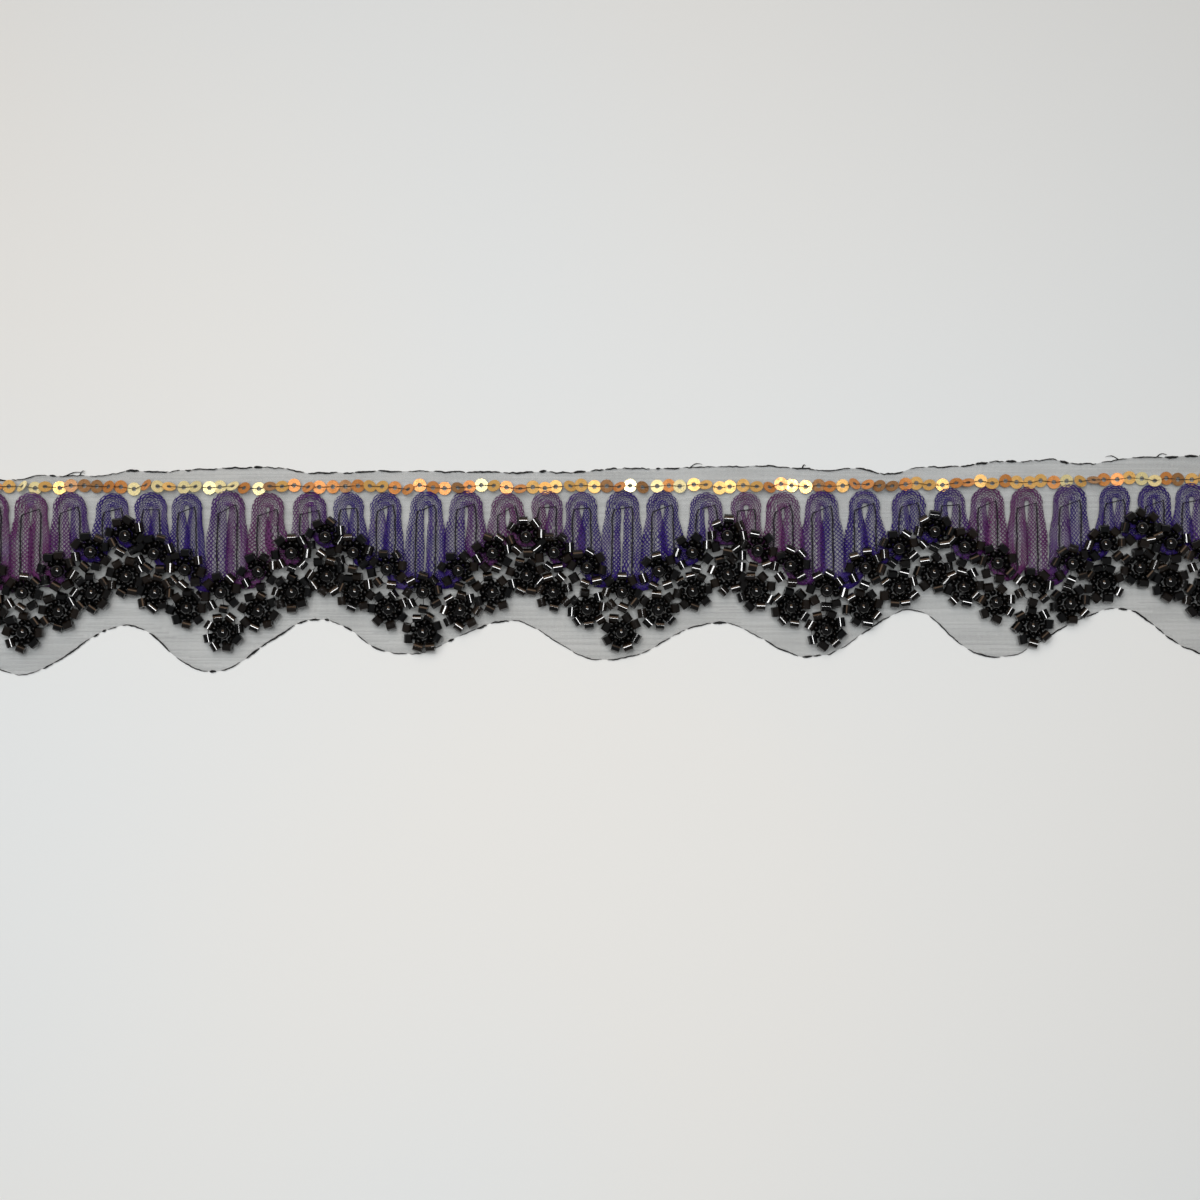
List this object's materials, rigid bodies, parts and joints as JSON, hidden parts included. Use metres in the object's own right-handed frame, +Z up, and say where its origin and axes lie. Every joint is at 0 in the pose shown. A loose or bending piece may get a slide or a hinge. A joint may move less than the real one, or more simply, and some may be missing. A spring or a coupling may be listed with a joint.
{
  "type": "lace trim",
  "caption": "Flat length of scalloped beaded edging: a sheer strip with a sequin chain, a looped mesh ribbon and a zigzag of black bead flowers, sewn along an edge as a border.",
  "frame": {"origin": "under the middle of the trim's bounding box, at the surface it lies on", "axes": "+X along the trim, +Y across it towards the straight heading edge, +Z up out of its beaded face"},
  "size_m": [0.314, 0.0546, 0.0058],
  "materials": {
    "sheer_cloth": "sheer crisp organza, neutral grey, with a fused black edge",
    "gold_sequin": "copper-gold metallic film, shiny",
    "mesh_ribbon": "fine soft net, shading from blue-violet to plum",
    "black_bead": "glossy opaque black"
  },
  "bodies": {
    "root": {"sheer_cloth": "sheer_cloth", "sequin_chain": "gold_sequin", "mesh_ribbon": "mesh_ribbon", "flower_pair_01": "black_bead", "flower_pair_02": "black_bead", "flower_pair_03": "black_bead", "flower_pair_04": "black_bead", "flower_pair_05": "black_bead", "flower_pair_06": "black_bead", "flower_pair_07": "black_bead", "flower_pair_08": "black_bead", "flower_pair_09": "black_bead", "flower_pair_10": "black_bead", "flower_pair_11": "black_bead", "flower_pair_12": "black_bead", "flower_pair_13": "black_bead", "flower_pair_14": "black_bead", "flower_pair_15": "black_bead", "flower_pair_16": "black_bead", "flower_pair_17": "black_bead", "flower_pair_18": "black_bead", "flower_pair_19": "black_bead", "flower_pair_20": "black_bead", "flower_pair_21": "black_bead", "flower_pair_22": "black_bead", "flower_pair_23": "black_bead", "flower_pair_24": "black_bead", "flower_pair_25": "black_bead", "flower_pair_26": "black_bead", "flower_pair_27": "black_bead", "flower_pair_28": "black_bead", "flower_pair_29": "black_bead", "flower_pair_30": "black_bead", "flower_pair_31": "black_bead", "flower_pair_32": "black_bead", "flower_pair_33": "black_bead", "flower_pair_34": "black_bead", "flower_pair_35": "black_bead", "flower_pair_36": "black_bead", "flower_pair_37": "black_bead"}
  },
  "joints": []
}
